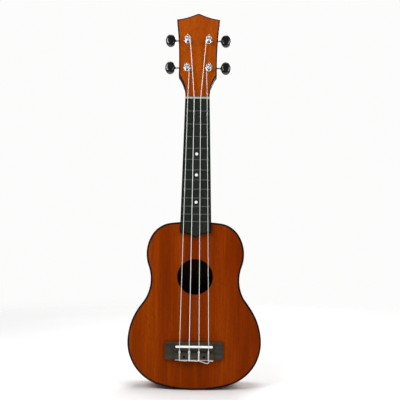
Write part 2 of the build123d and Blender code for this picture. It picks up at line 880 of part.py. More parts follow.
# The teeth lean by the worm's lead angle, so their two faces are turned apart.
lean = math.degrees(gear_width * (worm_lead / (2 * math.pi)) / worm_pitch_radius)
lean = lean / (gear_teeth * gear_module / 2)
with BuildPart() as gear_cut:
    for level, turn in ((gear_low, -lean / 2), (gear_high, lean / 2)):
        with BuildSketch(Plane.XY.offset(level).rotated((0, 0, turn))):
            add(gear_profile())
    loft(ruled=True)
    with BuildSketch(Plane.XY.offset(gear_low - 1)):
        Rectangle(spigot + 2 * fit_gap, spigot + 2 * fit_gap)
    extrude(amount=gear_width + 2, mode=Mode.SUBTRACT)

gear_screw_head = 1.3
gear_screw_head_radius = 2.7
with BuildPart() as gear_screw_turned:
    with BuildSketch(Plane.XY.offset(gear_low - fit_gap)):
        Circle(gear_screw_head_radius)
    extrude(amount=-gear_screw_head)
    fillet(gear_screw_turned.edges().sort_by(Axis.Z)[0], 0.5)
    with BuildSketch(Plane.XY.offset(gear_low - fit_gap - gear_screw_head)):
        Rectangle(6, 0.7)
    extrude(amount=0.7, mode=Mode.SUBTRACT)
    with BuildSketch(Plane.XY.offset(gear_low - fit_gap)):
        Circle(gear_screw_radius)
    extrude(amount=gear_width + 0.8)

# One worm thread, drawn round +Z, with its middle at the origin and a crest at +X there.
with BuildPart() as worm_thread:
    with BuildLine() as thread_path:
        Helix(worm_lead, 2 * worm_thread_half, worm_pitch_radius)
    with BuildSketch(
        Plane(origin=thread_path.line @ 0, x_dir=(1, 0, 0), z_dir=thread_path.line % 0)
    ):
        Polygon((-1.0, -0.78), (0.62, -0.16), (0.62, 0.16), (-1.0, 0.78), align=None)
    sweep(path=thread_path.line, is_frenet=True)

worm_head_inner, worm_head_outer = -ear_outer - 1.6, -ear_outer - 0.3
worm_head_radius = 2.0
shaft_in_button = 9.0
button_rim = 0.7  # half of the flat rim left between a button's two rounded faces
collar_radius = 2.0
collar_length = 3.0
collar_out = 0.7  # how far the collar stands out of the button
button_inner = button_x - button_length / 2

for name in string_names:
    side = side_of(name)
    along = worm_plane(name)
    post_away = abs(post_x[name])
    shaft_end = button_inner + shaft_in_button - post_away

    with BuildPart() as worm_shaft:
        with BuildSketch(along.offset(side * worm_head_inner)):
            Circle(worm_root_radius)
        extrude(amount=side * (shaft_end - worm_head_inner))
        with BuildSketch(along.offset(side * worm_head_inner)):
            Circle(worm_head_radius)
        extrude(amount=side * (worm_head_outer - worm_head_inner))
        start_turn = -360 * worm_thread_half / worm_lead
        with Locations(along.offset(-worm_thread_half)):
            add(worm_thread.part, rotation=(0, 0, start_turn))
    finish(worm_shaft, f"worm_shaft_{name}")

    with BuildPart() as button:
        middle = along.from_local_coords(Vector(0, 0, side * (button_x - post_away)))
        with BuildSketch(Plane(origin=middle, x_dir=(1, 0, 0), z_dir=head_plane.z_dir)):
            Ellipse(button_length / 2, button_tall / 2)
        extrude(amount=button_thick / 2, both=True)
        fillet(button.edges(), button_thick / 2 - button_rim)
        with BuildSketch(along.offset(side * (button_inner - collar_out - post_away))):
            Circle(collar_radius)
        extrude(amount=side * collar_length)
        with BuildSketch(along.offset(side * (button_inner - collar_length - post_away))):
            Circle(worm_root_radius + 0.01)
        extrude(amount=side * (shaft_in_button + collar_length + 0.2), mode=Mode.SUBTRACT)
    finish(button, f"button_{name}")

    with BuildPart() as post:
        with Locations(post_plane(name)):
            add(post_turned.part)
    finish(post, f"post_{name}")

    with BuildPart() as gear:
        with Locations(post_plane(name)):
            add(gear_cut.part)
    finish(gear, f"gear_{name}")

    with BuildPart() as gear_screw:
        with Locations(post_plane(name)):
            add(gear_screw_turned.part)
    finish(gear_screw, f"gear_screw_{name}")

    radius = string_radius[name]
    pitch = 2 * radius + 0.06
    with BuildPart() as coil_turned:
        with BuildLine() as turns:
            Helix(pitch, pitch * coil_turns, post_radius + fit_gap + radius, lefthand=side > 0)
        with BuildSketch(Plane(origin=turns.line @ 0, z_dir=turns.line % 0)):
            Circle(radius)
        sweep(path=turns.line, is_frenet=True)
    with BuildPart() as coil:
        with Locations(post_plane(name, veneer_thickness + wrap_height + 2 * radius + 0.12)):
            add(coil_turned.part)
    finish(coil, f"string_coil_{name}")
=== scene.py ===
import json
import math

import bpy
from mathutils import Matrix, Vector


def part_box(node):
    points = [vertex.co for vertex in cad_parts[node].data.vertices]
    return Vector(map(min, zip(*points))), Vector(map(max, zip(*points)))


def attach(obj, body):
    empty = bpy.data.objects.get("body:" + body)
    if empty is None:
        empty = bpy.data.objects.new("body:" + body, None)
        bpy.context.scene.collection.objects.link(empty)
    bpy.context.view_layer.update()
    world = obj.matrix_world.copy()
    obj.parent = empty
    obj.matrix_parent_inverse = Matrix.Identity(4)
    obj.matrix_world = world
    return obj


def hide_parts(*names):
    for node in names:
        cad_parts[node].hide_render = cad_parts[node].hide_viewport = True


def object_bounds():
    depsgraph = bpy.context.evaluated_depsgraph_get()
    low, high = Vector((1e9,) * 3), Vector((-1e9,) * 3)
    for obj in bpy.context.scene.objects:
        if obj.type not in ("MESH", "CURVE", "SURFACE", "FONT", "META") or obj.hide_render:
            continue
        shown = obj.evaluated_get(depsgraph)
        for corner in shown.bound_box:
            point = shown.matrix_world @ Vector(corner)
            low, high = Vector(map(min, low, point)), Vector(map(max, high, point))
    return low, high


# The looks of a soprano ukulele, in metres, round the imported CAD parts. +X is to the right
# seen from the front, the soundboard faces -Y and +Z runs up the neck.

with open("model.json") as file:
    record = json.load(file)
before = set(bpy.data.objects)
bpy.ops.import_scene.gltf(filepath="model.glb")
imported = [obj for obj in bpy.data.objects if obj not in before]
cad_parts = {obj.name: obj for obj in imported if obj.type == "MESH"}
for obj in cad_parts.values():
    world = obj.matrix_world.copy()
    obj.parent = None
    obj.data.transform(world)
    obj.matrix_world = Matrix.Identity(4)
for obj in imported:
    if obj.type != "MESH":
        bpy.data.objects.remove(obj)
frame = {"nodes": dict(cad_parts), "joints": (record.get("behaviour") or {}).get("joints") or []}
cad_low, cad_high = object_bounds()
scene = bpy.context.scene

MM = 0.001
STRINGS = ("g", "c", "e", "a")
FACE_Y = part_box("soundboard")[0].y
BACK_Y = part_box("back")[1].y


def joint(name):
    return next(j for j in frame["joints"] if j["name"] == name)


# ---- Node materials ----
class Shader:
    """One node material; each call adds a node and gives its output back."""

    def __init__(self, name):
        self.material = bpy.data.materials.new(name)
        self.material.use_nodes = True
        self.tree = self.material.node_tree
        self.surface = self.tree.nodes["Principled BSDF"]
        self.place = self.tree.nodes.new("ShaderNodeTexCoord").outputs["Object"]

    def feed(self, socket, value):
        """Links an output or sets a value; a colour of three channels gets its alpha."""
        if isinstance(value, bpy.types.NodeSocket):
            self.tree.links.new(value, socket)
        elif socket.type == "RGBA" and len(value) == 3:
            socket.default_value = (*value, 1.0)
        else:
            socket.default_value = value

    def node(self, kind, *values, **settings):
        """Adds a node and fills its inputs in order; None leaves an input alone."""
        made = self.tree.nodes.new("ShaderNode" + kind)
        for key, value in settings.items():
            setattr(made, key, value)
        for socket, value in zip(made.inputs, values):
            if value is not None:
                self.feed(socket, value)
        return made

    def scaled(self, frequency, offset=(0.0, 0.0, 0.0)):
        """Object coordinates times a frequency along each axis."""
        return self.node("Mapping", self.place, offset, None, frequency).outputs[0]

    def noise(self, size, detail=2.0, rough=0.5, offset=(0.0, 0.0, 0.0), distortion=0.0):
        """Soft noise whose patches are about size long on each axis, in metres."""
        vector = self.scaled([1 / s for s in size], offset)
        made = self.node("TexNoise")
        self.feed(made.inputs["Vector"], vector)
        self.feed(made.inputs["Scale"], 1.0)
        self.feed(made.inputs["Detail"], detail)
        self.feed(made.inputs["Roughness"], rough)
        self.feed(made.inputs["Distortion"], distortion)
        return made.outputs[0]

    def cells(self, size):
        """Distance from the middle of Voronoi patches about size across."""
        made = self.node("TexVoronoi")
        self.feed(made.inputs["Vector"], self.scaled([1 / s for s in size]))
        self.feed(made.inputs["Scale"], 1.0)
        return made.outputs[0]

    def ramp(self, value, *stops):
        """A colour ramp; each stop is a place and a colour or grey."""
        made = self.node("ValToRGB", value)
        elements = made.color_ramp.elements
        while len(elements) < len(stops):
            elements.new(0.5)
        for element, (at, colour) in zip(elements, stops):
            element.position = at
            grey = (colour, colour, colour) if isinstance(colour, (int, float)) else colour
            element.color = (*grey, 1.0)
        return made.outputs[0]

    def sum(self, a, b, operation="ADD"):
        """The sum of two values, or another operation on them."""
        return self.node("Math", a, b, operation=operation).outputs[0]

    def mix(self, share, a, b):
        """Colour a, with a share of colour b."""
        made = self.node("Mix", data_type="RGBA")
        self.feed(made.inputs[0], share)
        self.feed(made.inputs[6], a)
        self.feed(made.inputs[7], b)
        return made.outputs[2]

    def spread(self, value, low, high):
        """Maps 0..1 to low..high."""
        return self.node("MapRange", value, 0.0, 1.0, low, high).outputs[0]

    def bump(self, height, distance, strength=1.0, normal=None):
        made = self.node("Bump")
        self.feed(made.inputs["Height"], height)
        self.feed(made.inputs["Distance"], distance)
        self.feed(made.inputs["Strength"], strength)
        if normal is not None:
            self.feed(made.inputs["Normal"], normal)
        return made.outputs[0]

    def soft_edges(self, radius):
        """A normal that rounds sharp edges over a small radius."""
        made = self.node("Bevel", samples=4)
        self.feed(made.inputs["Radius"], radius)
        return made.outputs[0]

    def wear(self, radius):
        """1 along sharp edges, 0 on flat faces."""
        bevelled = self.soft_edges(radius)
        flat = self.node("NewGeometry").outputs["Normal"]
        alike = self.node("VectorMath", bevelled, flat, operation="DOT_PRODUCT").outputs["Value"]
        return self.ramp(alike, (0.85, 1.0), (0.99, 0.0))

    def finish(self, **inputs):
        """Feeds the surface's inputs by name and gives the material."""
        for key, value in inputs.items():
            self.feed(self.surface.inputs[key.replace("_", " ")], value)
        return self.material


AMBER = (1.0, 0.5, 0.08)  # keeps the gloss on the wood warm
# near-black painted shade for the headstock's edge faces
EDGE_PAINTED_SHADE = (0.004, 0.003, 0.003)
EDGE_FACING = 0.35  # a face counts as an edge when it looks this little front or back


def grain_size(cross, length, along):
    """Patch sizes for a figure that is long on the axes named in along."""
    return [length if axis in along else cross for axis in "xyz"]


def darker(colour, share):
    return tuple(channel * share for channel in colour)


def side_faces(shader, height):
    """1 on the headstock's edge faces above a height, 0 on its back and below."""
    normal = shader.node("NewGeometry").outputs["Normal"]
    out = tuple(joint("post_g_turn")["axis"])
    facing = shader.node("VectorMath", normal, out, operation="DOT_PRODUCT").outputs["Value"]
    edge_on = shader.sum(shader.sum(facing, 0.0, "ABSOLUTE"), EDGE_FACING, "LESS_THAN")
    level = shader.node("SeparateXYZ", shader.place).outputs[2]
    return shader.sum(edge_on, shader.sum(level, height, "GREATER_THAN"), "MULTIPLY")


def wood(
    name,
    tones,
    along="z",
    ribbon=0.014,
    pores=0.55,
    rough=(0.34, 0.5),
    shine=0.2,
    tint=AMBER,
    inside=None,
    dark_above=None,
    shift=3.1,
    pale_left=0.0,
):
    """Lacquered wood: broad ribbon figure, fine streaks, open pores and faint worn edges.

    tones are its dark, middle and light colour. along names the axes that the grain runs on,
    ribbon is the figure's width and shift picks the place in the broad figure. inside is
    (y from, y to, colour) of the unfinished faces within the body, whose colour is a painted
    shade. Above the height dark_above the headstock's edge faces get a near-black painted
    shade. pale_left is how much paler the figure gets for each metre to the left.
    """
    shader = Shader(name)
    dark, middle, light = tones
    ribbons = shader.noise(grain_size(ribbon, 0.30, along), 2.0, 0.55, distortion=0.25)
    broad = shader.noise(grain_size(ribbon * 4.5, 0.5, along), 1.0, 0.4, offset=(shift, 0.0, 1.7))
    streaks = shader.noise(grain_size(0.0016, 0.075, along), 3.0, 0.6, offset=(0.0, 4.0, 0.0))
    fibres = shader.noise(grain_size(0.0005, 0.012, along), 2.0, 0.7, offset=(9.0, 0.0, 2.0))
    open_pores = shader.ramp(
        shader.noise(grain_size(0.00042, 0.0045, along), 1.0, 0.4, offset=(5.0, 5.0, 5.0)),
        (0.60, 0.0),
        (0.70, 1.0),
    )
    figure = shader.sum(
        shader.sum(shader.spread(ribbons, 0.0, 0.42), shader.spread(streaks, 0.0, 0.26)),
        shader.sum(shader.spread(broad, 0.0, 0.24), shader.spread(fibres, 0.0, 0.08)),
    )
    if pale_left:
        across = shader.node("SeparateXYZ", shader.place).outputs[0]
        figure = shader.sum(figure, shader.sum(across, -pale_left, "MULTIPLY"))
    colour = shader.ramp(figure, (0.38, dark), (0.50, middle), (0.62, light))
    colour = shader.mix(shader.spread(open_pores, 0.0, pores), colour, darker(dark, 0.45))
    worn = shader.wear(0.7 * MM)
    colour = shader.mix(shader.spread(worn, 0.0, 0.25), colour, light)
    if dark_above:
        # The headstock's edge faces get near-black painted shade.
        colour = shader.mix(side_faces(shader, dark_above), colour, EDGE_PAINTED_SHADE)
    if inside:
        # Faces within the body take the inside colour, a near-black painted shade.
        from_y, to_y, raw = inside
        depth = shader.node("SeparateXYZ", shader.place).outputs[1]
        behind = shader.sum(depth, from_y, "GREATER_THAN")
        within = shader.sum(behind, shader.sum(depth, to_y, "LESS_THAN"), "MULTIPLY")
        colour = shader.mix(within, colour, raw)
    height = shader.sum(shader.spread(fibres, 0.0, 0.5), shader.spread(open_pores, 0.0, -0.8))
    normal = shader.bump(height, 0.08 * MM, 0.6, shader.soft_edges(0.35 * MM))
    roughness = shader.sum(shader.spread(streaks, *rough), shader.spread(open_pores, 0.0, 0.15))
    return shader.finish(
        Base_Color=colour,
        Roughness=roughness,
        Normal=normal,
        Specular_IOR_Level=shine,
        Specular_Tint=tint,
    )


def plastic(name, colour, rough=(0.18, 0.3), shine=0.3, speckle=0.12, edge=0.0, edge_colour=None):
    """Moulded plastic: faint mottling, fine scratches and, with edge, worn edges."""
    shader = Shader(name)
    mottling = shader.noise((4 * MM,) * 3, 3.0, 0.6)
    scratches = shader.noise((0.15 * MM, 0.15 * MM, 5 * MM), 2.0, 0.5, distortion=0.6)
    tone = shader.mix(shader.spread(mottling, 0.0, 1.0), darker(colour, 1 - speckle), colour)
    if edge:
        worn = shader.spread(shader.wear(0.5 * MM), 0.0, edge)
        tone = shader.mix(worn, tone, edge_colour)
    rounded = shader.soft_edges(0.3 * MM)
    normal = shader.bump(shader.spread(scratches, 0.0, 0.4), 0.02 * MM, 0.3, rounded)
    roughness = shader.spread(
        shader.sum(shader.spread(mottling, 0.0, 0.7), shader.spread(scratches, 0.0, 0.3)), *rough
    )
    return shader.finish(
        Base_Color=tone,
        Roughness=roughness,
        Normal=normal,
        Specular_IOR_Level=shine,
    )


def metal(name, colour, rough, brushed=None, tarnish=0.1):
    """Plated metal with smudges, and fine brushing along one axis if named."""
    shader = Shader(name)
    smudges = shader.noise((3 * MM,) * 3, 4.0, 0.65)
    fine = shader.noise(grain_size(0.08 * MM, 4 * MM, brushed or ""), 2.0, 0.5)
    tone = shader.mix(shader.spread(smudges, 0.0, tarnish * 2), colour, darker(colour, 0.55))
    roughness = shader.spread(shader.sum(smudges, fine, "MULTIPLY"), rough[0], rough[1] * 2)
    normal = shader.bump(fine, 0.01 * MM, 0.35 if brushed else 0.08, shader.soft_edges(0.2 * MM))
    return shader.finish(Base_Color=tone, Metallic=1.0, Roughness=roughness, Normal=normal)


def pearl(name):
    """Mother-of-pearl plastic: flakes that differ a little in tint and gloss."""
    shader = Shader(name)
    flakes = shader.cells((0.9 * MM,) * 3)
    swirl = shader.noise((1.3 * MM,) * 3, 3.0, 0.6, distortion=1.2)
    tint = shader.mix(swirl, (0.86, 0.88, 0.83), (0.98, 0.95, 0.97))
    tint = shader.mix(shader.spread(flakes, 0.0, 0.35), tint, (0.72, 0.80, 0.80))
    return shader.finish(
        Base_Color=tint,
        Roughness=shader.spread(swirl, 0.12, 0.3),
        Normal=shader.bump(flakes, 0.03 * MM, 0.3),
    )


def nylon(name):
    """Pale nylon: milky, glossy, a little uneven along its length."""
    shader = Shader(name)
    milk = shader.noise((1 * MM, 1 * MM, 6 * MM), 3.0, 0.6)
    tone = shader.mix(milk, (0.76, 0.78, 0.76), (0.95, 0.96, 0.94))
    return shader.finish(
        Base_Color=tone,
        Roughness=shader.spread(milk, 0.2, 0.4),
        IOR=1.53,
        Normal=shader.bump(milk, 0.02 * MM, 0.3),
    )


MAHOGANY = ((0.135, 0.0124, 0.0002), (0.190, 0.0212, 0.0003), (0.262, 0.0375, 0.0006))
NECK_TONES = ((0.13, 0.015, 0.0004), (0.18, 0.025, 0.0006), (0.24, 0.040, 0.001))
HEAD_TONES = ((0.22, 0.028, 0.0003), (0.285, 0.042, 0.0005), (0.35, 0.062, 0.001))
# Raw wood darkened to near-black: painted shade for the faces inside the body.
SHADED_RAW_WOOD = (0.012, 0.007, 0.004)
PLATE = 2.0 * MM  # the soundboard's and the back's thickness

looks = {
    "soundboard": wood(
        "mahogany_top",
        MAHOGANY,
        inside=(FACE_Y + 0.5 * PLATE, BACK_Y, SHADED_RAW_WOOD),
        shift=1.3,
        pale_left=0.7,
    ),
    "back": wood("mahogany_back", MAHOGANY, inside=(FACE_Y, BACK_Y - 0.5 * PLATE, SHADED_RAW_WOOD)),
    "side": wood("mahogany_sides", MAHOGANY, along="xz", ribbon=0.009),
    "neck": wood(
        "mahogany_neck",
        NECK_TONES,
        ribbon=0.010,
        rough=(0.42, 0.58),
        shine=0.15,
        # painted shade on the headstock's edge faces above the nut
        dark_above=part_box("nut")[1].z + MM,
    ),
    "veneer": wood("mahogany_veneer", HEAD_TONES, ribbon=0.009, pores=0.35),
    # Painted shade: the blocks, linings, plate and dowels inside the body are near-black.
    "inner": wood("shaded_raw_lining", (SHADED_RAW_WOOD, darker(SHADED_RAW_WOOD, 1.5), darker(SHADED_RAW_WOOD, 2)), along="xz"),
    "brace": wood(
        "raw_spruce",
        ((0.10, 0.065, 0.03), (0.14, 0.09, 0.045), (0.18, 0.12, 0.06)),
        along="x",
        ribbon=0.003,
        pores=0.1,
        rough=(0.6, 0.75),
        shine=0.12,
    ),
    "fretboard": wood(
        "dark_fretboard",
        ((0.009, 0.011, 0.009), (0.014, 0.018, 0.0145), (0.022, 0.027, 0.022)),
        ribbon=0.006,
        pores=0.5,
        rough=(0.42, 0.6),
        shine=0.1,
        tint=(0.9, 1.0, 0.9),
    ),
    "bridge": wood(
        "dark_bridge",
        ((0.024, 0.021, 0.016), (0.036, 0.032, 0.025), (0.050, 0.045, 0.036)),
        along="x",
        ribbon=0.005,
        pores=0.5,
        rough=(0.42, 0.6),
        shine=0.12,
        tint=(1.0, 0.97, 0.88),
    ),
    "binding": plastic(
        "black_binding",
        (0.004, 0.004, 0.0045),
        (0.3, 0.42),
        0.06,
        edge=0.3,
        edge_colour=(0.012, 0.012, 0.012),
    ),
    "button": plastic("gloss_button", (0.006, 0.006, 0.0065), (0.07, 0.16), shine=0.9),
    "plug": plastic("black_plug", (0.002, 0.002, 0.002), (0.5, 0.6), 0.02),
    # The white nut is darkened to grey-green: painted shade.
    "nut": plastic("white_nut_painted_shade", (0.36, 0.37, 0.31), (0.3, 0.45), speckle=0.2),
    "strip": plastic("worn_strip", (0.50, 0.49, 0.45), (0.35, 0.5), speckle=0.4),
    "saddle": plastic("white_saddle", (0.93, 0.93, 0.86), (0.25, 0.4), speckle=0.08),
    "pearl": pearl("pearl_dots"),
    "fret": metal("nickel_frets", (0.125, 0.13, 0.12), (0.35, 0.55), brushed="x", tarnish=0.3),
    "chrome": metal("chrome", (0.88, 0.88, 0.90), (0.05, 0.16), tarnish=0.08),
    "shaft": metal("steel_shafts", (0.34, 0.32, 0.29), (0.2, 0.35), tarnish=0.2),
    "gear": metal("plated_gear", (0.70, 0.66, 0.55), (0.2, 0.4), tarnish=0.3),
    "screw": metal("plated_screws", (0.72, 0.72, 0.72), (0.15, 0.3), tarnish=0.15),
    "nylon": nylon("clear_nylon"),
}

worn_by = {
    "soundboard": ["soundboard"],
    "back": ["back"],
    "side": ["side_left", "side_right"],
    "neck": ["neck"],
    "veneer": ["headstock_veneer"],
    "inner": [
        "neck_block",
        "tail_block",
        "top_linings",
        "back_linings",
        "bridge_plate",
        "neck_dowels",
    ],
    "brace": ["top_braces", "back_braces"],
    "fretboard": ["fretboard", "heel_cap"],
    "bridge": ["bridge"],
    "binding": ["top_binding", "back_binding", "headstock_binding", "fretboard_binding"],
    "button": [f"button_{s}" for s in STRINGS],
    "plug": ["bridge_screw_plugs"],
    "nut": ["nut"],
    "saddle": ["saddle"],
    "strip": ["tie_block_strip"],
    "pearl": ["position_dots"],
    "fret": ["frets"],
    "chrome": ["tuner_plates", "bushings", "mounting_screws"] + [f"post_{s}" for s in STRINGS],
    "shaft": [f"worm_shaft_{s}" for s in STRINGS],
    "gear": [f"gear_{s}" for s in STRINGS],
    "screw": ["bridge_screws"] + [f"gear_screw_{s}" for s in STRINGS],
    "nylon": [f"{part}_{s}" for part in ("string", "string_coil") for s in STRINGS],
}
for look, nodes in worn_by.items():
    for node in nodes:
        mesh = frame["nodes"][node].data
        mesh.materials.clear()
        mesh.materials.append(looks[look])


# ---- Strings ----
TUBE_SIDES = 10
END_TAPER = 0.55  # a tube's ends narrow to this share of its radius
LONG_STRETCH = 12 * MM  # a gap this long between two points needs few steps
HALF_TWISTS = 4  # how often the two passes of a knot cross
TWIST_POINTS = 16
TWIST_START = 0.5  # radians
TAIL_REACH = {"g": 11.5 * MM, "c": 14.5 * MM, "e": 15.2 * MM, "a": 7.0 * MM}
FIRST_WRAP = math.radians(168)  # how far a string runs round its post before its coil begins
FIRST_WRAP_POINTS = 12
COIL_POINTS = 14  # for each turn
WRAP_GAP = 0.08 * MM  # between the turns on a post
POST_GAP = 0.05 * MM
NEAR_AXIS = 4.2 * MM  # a string's points this close to its post's axis lie on the post
HOLE_BELOW_TIP = 4.9 * MM  # the post's hole for the string's end


def tube(name, points, radius, steps=6):
    """A closed round tube along a smooth curve through the points."""
    sides = TUBE_SIDES
    path = smooth_path(points, steps)
    vertices, faces = [], []
    heading = (path[1] - path[0]).normalized()
    side = heading.orthogonal().normalized()
    for i, centre in enumerate(path):
        ahead = path[min(i + 1, len(path) - 1)] - path[max(i - 1, 0)]
        turn = heading.rotation_difference(ahead.normalized())
        side = (turn @ side).normalized()
        heading = ahead.normalized()
        up = heading.cross(side)
        share = END_TAPER if i in (0, len(path) - 1) else 1.0
        for k in range(sides):
            angle = 2 * math.pi * k / sides
            spoke = side * math.cos(angle) + up * math.sin(angle)
            vertices.append(centre + spoke * radius * share)
    for i in range(len(path) - 1):
        for k in range(sides):
            a, b = i * sides + k, i * sides + (k + 1) % sides
            faces.append((a, b, b + sides, a + sides))
    faces.append(tuple(reversed(range(sides))))
    faces.append(tuple(range((len(path) - 1) * sides, len(path) * sides)))
    mesh = bpy.data.meshes.new(name)
    mesh.from_pydata([tuple(v) for v in vertices], [], faces)
    mesh.polygons.foreach_set("use_smooth", [len(f) == 4 for f in faces])
    mesh.materials.append(looks["nylon"])
    piece = bpy.data.objects.new(name, mesh)
    scene.collection.objects.link(piece)
    return piece


def smooth_path(points, steps):
    """A smooth curve through every point, whose bends don't overshoot beside a long stretch."""
    spots = [Vector(p) for p in points]
    spots = [2 * spots[0] - spots[1], *spots, 2 * spots[-1] - spots[-2]]
    headings = [
        (c - a) / ((b - a).length + (c - b).length)
        for a, b, c in zip(spots, spots[1:], spots[2:])
    ]
    path = []
    for b, c, leaving, arriving in zip(spots[1:], spots[2:], headings, headings[1:]):
        gap = (c - b).length
        count = steps if gap < LONG_STRETCH else 2
        for k in range(count):
            t = k / count
            share = 3 * t**2 - 2 * t**3
            bend = (t**3 - 2 * t**2 + t) * leaving + (t**3 - t**2) * arriving
            path.append(b.lerp(c, share) + bend * gap)
    path.append(spots[-2])
    return path


def ring_at(name, low, high):
    """Middle and radius of a CAD string's cross-section between two heights."""
    spots = [v.co for v in frame["nodes"][name].data.vertices if low <= v.co.z <= high]
    lowest = Vector([min(c[i] for c in spots) for i in range(3)])
    highest = Vector([max(c[i] for c in spots) for i in range(3)])
    return (lowest + highest) / 2, (highest.x - lowest.x) / 2


def post_frame(name):
    """The post's centre on its axis, its outward direction, and across and up the headstock."""
    turn = joint(f"post_{name}_turn")
    outward = Vector(turn["axis"]).normalized()
    across = Vector((1, 0, 0))
    return Vector(turn["pos_m"]), outward, across, outward.cross(across)


def round_post(base, across, up, angle, reach):
    """A point at an angle round a post, reach away from its axis."""
    return base + (across * math.cos(angle) + up * math.sin(angle)) * reach


saddle_low, saddle_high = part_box("saddle")
nut_low, nut_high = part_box("nut")
# The bridge's tie block: its top, its rear edge and, past its rounded edge, its front.
block_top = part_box("tie_block_strip")[0].y
tail_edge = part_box("bridge")[0].z
bridge_spots = [v.co for v in frame["nodes"]["bridge"].data.vertices]
block_front = max(c.z for c in bridge_spots if c.y < block_top + 0.05 * MM) + 0.8 * MM


def tied_end(hole, radius, hand, tail):
    """Points from the tail's tip to the end of the block's hole: over the block to its front,
    round the string, back over the block, wound round the first pass, and into the hole."""
    x = hole.x
    lift = block_top - radius * 1.05
    gap = radius * 1.7
    front = block_front + 2.6 * MM
    under = (hole.y + saddle_low.y) / 2

    def twisted(shares, start):
        points = []
        for share in shares:
            angle = math.pi * HALF_TWISTS * share + start
            z = tail_edge - radius * 0.4 + share * (block_front - tail_edge + radius)
            points.append((x + hand * gap * math.cos(angle), lift - gap - gap * math.sin(angle), z))
        return points

    shares = [k / TWIST_POINTS for k in range(TWIST_POINTS + 1)]
    return [
        *tail,
        *twisted(shares, TWIST_START),
        # Round the sounding string, just in front of the block.
        (x + hand * radius * 2.1, under - radius * 1.4, front),
        (x + hand * radius * 0.4, under + radius * 1.9, front + radius * 0.6),
        (x - hand * radius * 2.0, under + radius * 0.2, front),
        (x - hand * radius * 2.0, block_top + radius * 1.2, block_front + radius * 2.4),
        *twisted(reversed(shares), TWIST_START + math.pi),
        # Down the block's rear face and into its hole.
        (x, block_top - radius * 0.2, tail_edge - radius * 1.25),
        (x, (block_top + hole.y) / 2, tail_edge - radius * 1.5),
        (x, hole.y, tail_edge - radius * 1.0),
        (x, hole.y, tail_edge + 1.5 * MM),
        (x, hole.y, block_front - 1.0 * MM),
    ]


def tail_points(name, x, radius):
    """The loose end beside the knot, from its tip. Three lie along the block's rear edge, and
    the e string's hangs below it."""
    reach = TAIL_REACH[name]
    y = block_top - radius * 0.9
    z = tail_edge - radius * 0.9
    if name == "e":
        dip = 3.4 * MM
        return [
            (x + reach, y - 0.3 * MM, z + 0.4 * MM),
            (x + reach * 0.86, y, z - dip * 0.85),
            (x + reach * 0.74, y, z - dip),
            (x + reach * 0.38, y, z - dip * 0.5),
            (x + radius * 2.6, y, z - 0.1 * MM),
        ]
    return [
        (x + reach, y + 0.4 * MM, z + 0.2 * MM),
        (x + reach * 0.72, y, z - 0.25 * MM),
        (x + reach * 0.38, y, z + 0.15 * MM),
        (x + radius * 2.8, y, z),
    ]


def sounding_string(name):
    """The string from its tied end over saddle and nut and half round the post. Gives what
    its coil starts from."""
    node = f"string_{name}"
    low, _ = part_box(node)
    hole, radius = ring_at(node, low.z - MM, low.z + 0.2 * MM)
    at_nut, _ = ring_at(node, nut_low.z - MM, nut_high.z + MM)
    centre, outward, across, up = post_frame(name)
    side = 1 if centre.x > 0 else -1
    saddle_z = (saddle_low.z + saddle_high.z) / 2
    crest = saddle_low.y - radius - 0.03 * MM
    points = tied_end(hole, radius, side, tail_points(name, hole.x, radius))
    points += [
        (hole.x, hole.y - 0.4 * MM, block_front + 1.3 * MM),
        (hole.x, (hole.y + crest) / 2 - 0.3 * MM, (block_front + saddle_z) / 2 + 0.2 * MM),
        (hole.x, crest + 0.5 * MM, saddle_z - 1.3 * MM),
        (hole.x, crest, saddle_z),
        (hole.x, crest + 0.03 * MM, saddle_z + 1.6 * MM),
    ]
    nut_spot = Vector((at_nut.x, at_nut.y, (nut_low.z + nut_high.z) / 2))
    points += [
        Vector(points[-1]).lerp(nut_spot, 0.02),
        Vector(points[-1]).lerp(nut_spot, 0.5),
        nut_spot - Vector((0, 0, 5 * MM)),
        nut_spot,
    ]
    # The string leaves the nut as a tangent to its first turn round the post.
    post_low, post_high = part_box(f"post_{name}")
    reach = (post_high.x - post_low.x) / 2 + radius + POST_GAP
    base = centre + outward * wrap_height(name)
    flat = nut_spot - base
    nut_across, nut_up = flat.dot(across), flat.dot(up)
    lean = math.acos(reach / math.hypot(nut_across, nut_up))
    start = math.atan2(nut_up, nut_across) - side * lean
    begin = round_post(base, across, up, start, reach)
    points.append(nut_spot.lerp(begin, 4 * MM / (begin - nut_spot).length))
    points.append(nut_spot.lerp(begin, 0.5))
    for k in range(FIRST_WRAP_POINTS):
        angle = start - side * FIRST_WRAP * k / (FIRST_WRAP_POINTS - 1)
        points.append(round_post(base, across, up, angle, reach))
    piece = tube(f"tied_string_{name}", points, radius)
    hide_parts(node)
    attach(piece, "root")
    return base, start - side * FIRST_WRAP, reach, radius, side


def wrap_height(name):
    """How far out on the post the string's first turn lies, from the CAD string's own end."""
    centre, outward, _, _ = post_frame(name)
    spots = [v.co - centre for v in frame["nodes"][f"string_{name}"].data.vertices]
    near = [s.dot(outward) for s in spots if (s - outward * s.dot(outward)).length < NEAR_AXIS]
    return (min(near) + max(near)) / 2


